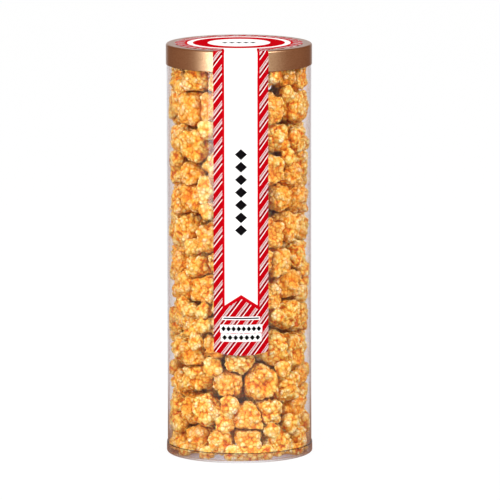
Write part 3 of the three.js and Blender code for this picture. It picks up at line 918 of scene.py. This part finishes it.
def crumb_spots(draw):
    """Middles of the broken bits, and how much room each has: of many drawn spots near the wall, the
    first of them on the fill's bottom, those farthest from all pieces, kept apart from each other."""
    centres, radii, *_ = lay_popcorn()
    turn = draw.uniform(0, 2 * np.pi, CRUMB_SPOTS)
    height = draw.uniform(FILL_BOTTOM_MM + CRUMB_LOW_MM, FILL_TOP_MM - CRUMB_LOW_MM, CRUMB_SPOTS)
    on_floor = np.arange(CRUMB_SPOTS) < FLOOR_SPOTS
    height = np.where(on_floor, FILL_BOTTOM_MM + CRUMB_LOW_MM, height)
    out = FILL_RADIUS_MM - draw.uniform(CRUMB_LOW_MM, CRUMBS_DEEP_MM, CRUMB_SPOTS)
    spots = np.stack([out * np.cos(turn), out * np.sin(turn), height], axis=-1)
    free = (np.linalg.norm(spots[:, None] - centres, axis=-1) - CRUMB_REACH * radii).min(axis=1)
    free = free + on_floor * FLOOR_BONUS_MM
    chosen = []
    for spot in np.argsort(-free):
        apart = [np.linalg.norm(spots[spot] - spots[other]) > CRUMBS_APART_MM for other in chosen]
        if all(apart) and len(chosen) < CRUMBS:
            chosen.append(spot)
    return spots[chosen], free[chosen]


def make_crumbs(material):
    """Broken bits where the pieces leave the wall free. A bit is a small ball of puffs that the wall and
    the fill's bottom cut off: from a height h over the bottom, a direction u meets it at h / -u.z."""
    draw = np.random.default_rng(CRUMB_SEED)
    directions, triangles = ball(CRUMB_BALL)
    slope = -directions[:, 2]
    points, faces, crowns_and_shade = [], [], []
    for index, (spot, free) in enumerate(zip(*crumb_spots(draw))):
        size = np.clip(free + CRUMB_SPARE_MM, CRUMB_LOW_MM, CRUMB_HIGH_MM)
        curds = puffs(directions, draw, **CRUMB_PUFFS)
        to_bottom = (spot[2] - FILL_BOTTOM_MM) / np.maximum(slope, LEAST_SLOPE)
        to_bottom = np.where(slope > 0, to_bottom, np.inf)
        reach = np.minimum(np.minimum(size * curds, room_to_wall(spot, directions)), to_bottom)
        points.append(spot + directions * reach[:, None])
        faces.append(triangles + index * len(directions))
        # Paler on the puffs and deep orange between them, partly the coating's tone and partly painted
        # shade
        crowns_and_shade.append(CRUMB_CROWN * np.clip((curds - CRUMB_FOOT) / CRUMB_RISE, 0, 1))
    points, faces, crowns_and_shade = map(np.concatenate, (points, faces, crowns_and_shade))
    crumbs = new_piece("popped_crumbs", points, faces, material, "tube", "coated_popcorn")
    write_attribute(crumbs, "crown_and_shade", "FLOAT", crowns_and_shade)
    write_attribute(crumbs, "tint", "FLOAT", np.full(len(points), CRUMB_TINT))


def make_popcorn(material):
    """Each quarter of a layer is one piece of four popped shapes, finer along the wall than behind. A
    point lies at its shape's centre plus its direction times its reach."""
    centres, radii, turns, groups, behind = lay_popcorn()
    fine_ball, plain_ball = ball(FINE_BALL), ball(PLAIN_BALL)
    for group in range(groups.max() + 1):
        points, faces, crowns_and_shade, tints, first = [], [], [], [], 0
        for number in np.flatnonzero(groups == group):
            directions, triangles = plain_ball if behind[number] else fine_ball
            reach, crown_and_shade = popped_shape(number, centres, radii, turns, directions)
            points.append(centres[number] + directions * reach[:, None])
            faces.append(triangles + first)
            crowns_and_shade.append(crown_and_shade)
            tints.append(np.full(len(crown_and_shade), 0.5 + 0.5 * chance(number, "lobe")))
            first += len(directions)
        points, faces, crowns_and_shade, tints = map(np.concatenate, (points, faces, crowns_and_shade, tints))
        name, node = f"popped_corn_{group + 1:02d}", f"popcorn_{group + 1:02d}"
        piece = new_piece(name, points, faces, material, "tube", "coated_popcorn", node)
        write_attribute(piece, "crown_and_shade", "FLOAT", crowns_and_shade)
        write_attribute(piece, "tint", "FLOAT", tints)


# Camera, lamps, world and floor

CAMERA_DISTANCE = 3.9206
CAMERA_AZIMUTH_DEG = 1.5254
CAMERA_ELEVATION_DEG = 8.7437
CAMERA_ROLL_DEG = -0.0874
CAMERA_LENS_MM = 457.843
CAMERA_SENSOR_MM = 36
CAMERA_SEES_FROM = 0.1
CAMERA_SEES_TO = 60
AIM_RIGHT = 0.0066122
AIM_HEIGHT = 0.125436

LAMPS = {
    "left_box": {"azimuth_deg": -52, "height": 0.31, "distance": 0.82, "width": 0.42, "tall": 0.58},
    "left_box_middle": {"azimuth_deg": -45, "height": 0.3, "distance": 0.8, "width": 0.16, "tall": 0.54},
    "left_key": {"azimuth_deg": -40, "height": 1.1, "distance": 1.2, "width": 0.6, "tall": 0.6},
    "right_fill": {"azimuth_deg": 50, "height": 0.9, "distance": 1.3, "width": 0.6, "tall": 0.6},
    "top_soft": {"azimuth_deg": 0, "height": 1.5, "distance": 0.7, "width": 0.9, "tall": 0.9},
}
LAMP_LEVELS = {
    "left_box": 0.06, "left_box_middle": 0.2, "left_key": 0.2, "right_fill": 0.32, "top_soft": 0.2,
}
FLOOR_RADII = (0.05, 1, 3, 9)
FLOOR_STEPS = 96


def set_camera():
    """The camera looks down along a line at the given azimuth and elevation, and is aimed a little to the
    right of the tube's axis."""
    azimuth, elevation = math.radians(CAMERA_AZIMUTH_DEG), math.radians(CAMERA_ELEVATION_DEG)
    level = math.cos(elevation)
    forward = Vector((math.sin(azimuth) * level, math.cos(azimuth) * level, -math.sin(elevation)))
    right = Vector((math.cos(azimuth), -math.sin(azimuth), 0))
    up = right.cross(forward)
    aim = right * AIM_RIGHT + Vector((0, 0, AIM_HEIGHT))
    data = bpy.data.cameras.new("camera")
    data.sensor_width, data.lens = CAMERA_SENSOR_MM, CAMERA_LENS_MM
    data.clip_start, data.clip_end = CAMERA_SEES_FROM, CAMERA_SEES_TO
    camera = bpy.data.objects.new("camera", data)
    bpy.context.scene.collection.objects.link(camera)
    roll = Matrix.Rotation(math.radians(CAMERA_ROLL_DEG), 3, "Z")
    turn = Matrix((right, up, -forward)).transposed() @ roll
    camera.matrix_world = Matrix.Translation(aim - forward * CAMERA_DISTANCE) @ turn.to_4x4()
    bpy.context.scene.camera = camera


def add_lamp(name, azimuth_deg, height, distance, width, tall, level):
    """A soft lamp that faces the tube's middle. Azimuth 0 is the camera's side, and positive is to the
    right. Level 1 would light a facing surface so that its colour looks as written."""
    azimuth = math.radians(azimuth_deg)
    middle = Vector((0, 0, AIM_HEIGHT))
    place = Vector((math.sin(azimuth) * distance, -math.cos(azimuth) * distance, height))
    data = bpy.data.lights.new(name, "AREA")
    data.shape, data.size, data.size_y = "RECTANGLE", width, tall
    data.energy = level * math.pi**2 * (place - middle).length_squared
    lamp = bpy.data.objects.new(name, data)
    lamp.location = place
    lamp.rotation_euler = (place - middle).to_track_quat("Z", "Y").to_euler()
    bpy.context.scene.collection.objects.link(lamp)


def set_world():
    """White where the camera looks at it, also through clear plastic, a studio in mirrors, and as light
    an even sky."""
    world = bpy.data.worlds.new("studio")
    world.use_nodes = True
    tree = world.node_tree
    tree.nodes.clear()
    path = add_node(tree, "ShaderNodeLightPath").outputs
    through = calc(tree, "MAXIMUM", path["Is Camera Ray"], path["Is Transmission Ray"])
    direction = add_node(tree, "ShaderNodeTexCoord").outputs["Generated"]
    sky = (WORLD_LEVEL,) * 3 + (1,)
    light = mix_colour(tree, path["Is Glossy Ray"], sky, room_in_mirrors(tree, direction))
    colour = mix_colour(tree, through, light, (1, 1, 1, 1))
    back = add_node(tree, "ShaderNodeBackground", {"Color": colour, "Strength": 1.0})
    output = add_node(tree, "ShaderNodeOutputWorld")
    tree.links.new(back.outputs[0], output.inputs["Surface"])
    bpy.context.scene.world = world


def add_floor(material):
    """A wide round floor: rings of points at growing radii, x = r cos t and y = r sin t, round a disc."""
    radii = np.array(FLOOR_RADII)[:, None]
    turn = np.linspace(0, 2 * np.pi, FLOOR_STEPS, endpoint=False)
    points = np.stack([radii * np.cos(turn), radii * np.sin(turn), 0 * radii + 0 * turn], axis=-1)
    mesh = bpy.data.meshes.new("floor")
    rings = ring_faces(len(radii), len(turn), closed_rows=False)[:, ::-1]
    disc = list(range(len(turn)))
    mesh.from_pydata(points.reshape(-1, 3).tolist(), [], [*rings.tolist(), disc])
    mesh.materials.append(material)
    floor = bpy.data.objects.new("floor", mesh)
    bpy.context.scene.collection.objects.link(floor)


set_camera()
set_world()
for lamp_name, placing in LAMPS.items():
    add_lamp(lamp_name, level=LAMP_LEVELS[lamp_name], **placing)
add_floor(pale_floor())

make_tube(clear_plastic("clear film", FILM_TINT, FILM_SMUDGE))
# The base cap's colour is darker over the top of its lip, as painted shade for the cut edge
lip_shade_from_mm = CAP_HIGH_MM[2] - LIP_SHADE_MM
make_base_cap(clear_plastic("clear moulding", MOULDING_TINT, MOULDING_SMUDGE, lip_shade_from_mm))
make_lid(satin_gold())
make_label(printed_paper())
corn = coated_popcorn()
make_popcorn(corn)
make_crumbs(corn)

bpy.context.scene.view_settings.view_transform = "Standard"
